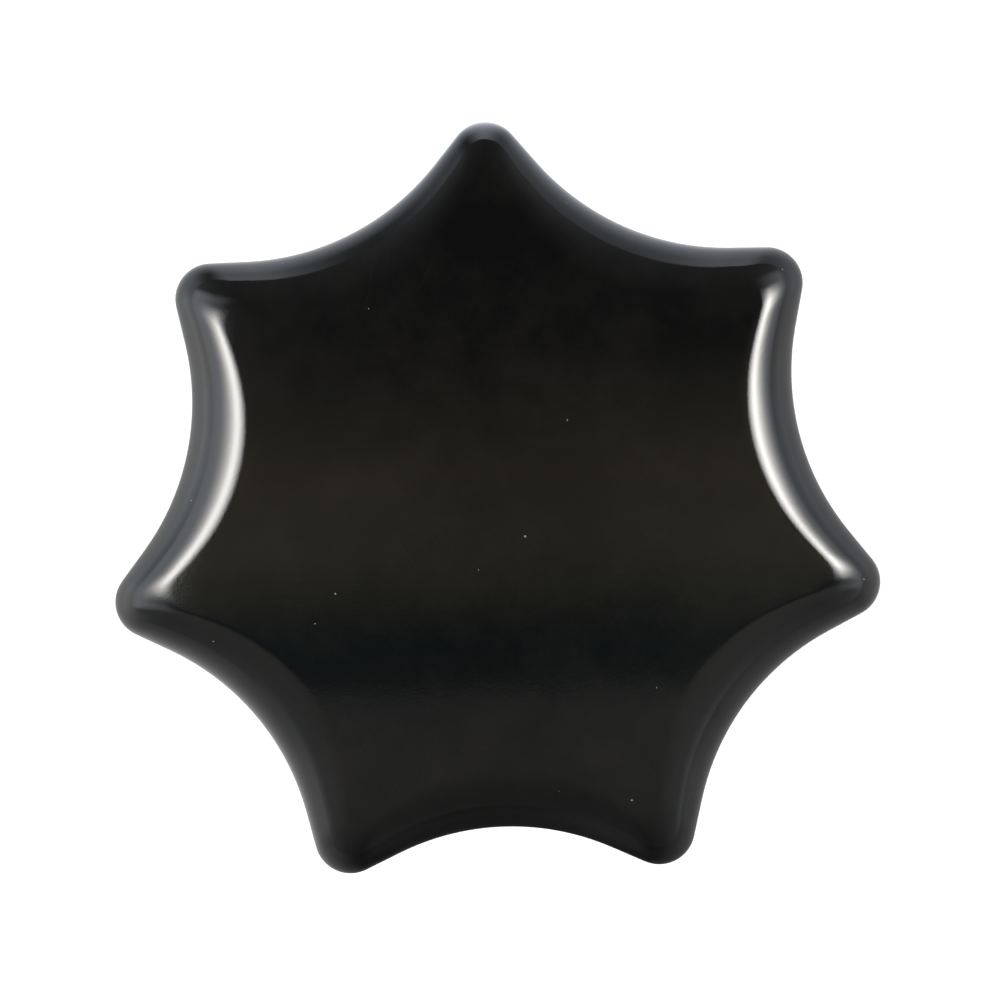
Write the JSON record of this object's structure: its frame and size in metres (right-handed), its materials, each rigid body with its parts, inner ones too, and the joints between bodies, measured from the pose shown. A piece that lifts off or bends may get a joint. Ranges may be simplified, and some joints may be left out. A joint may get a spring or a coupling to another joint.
{
  "type": "star knob",
  "caption": "Pointed star grip knob with finger scallops, a domed closed top, a hub below and a blind threaded insert.",
  "frame": {"origin": "centre of the hub's end face, where the thread's axis leaves it; the end face is the seat that the knob stands on and clamps against", "axes": "+Z from the seat to the crown along the thread's axis; +Y towards one of the points"},
  "size_m": [0.0616, 0.0602, 0.042],
  "materials": {
    "black_moulding": "glossy black phenolic moulding",
    "brass": "turned and knurled brass"
  },
  "bodies": {
    "root": {"knob_body": "black_moulding", "threaded_insert": "brass"}
  },
  "joints": []
}
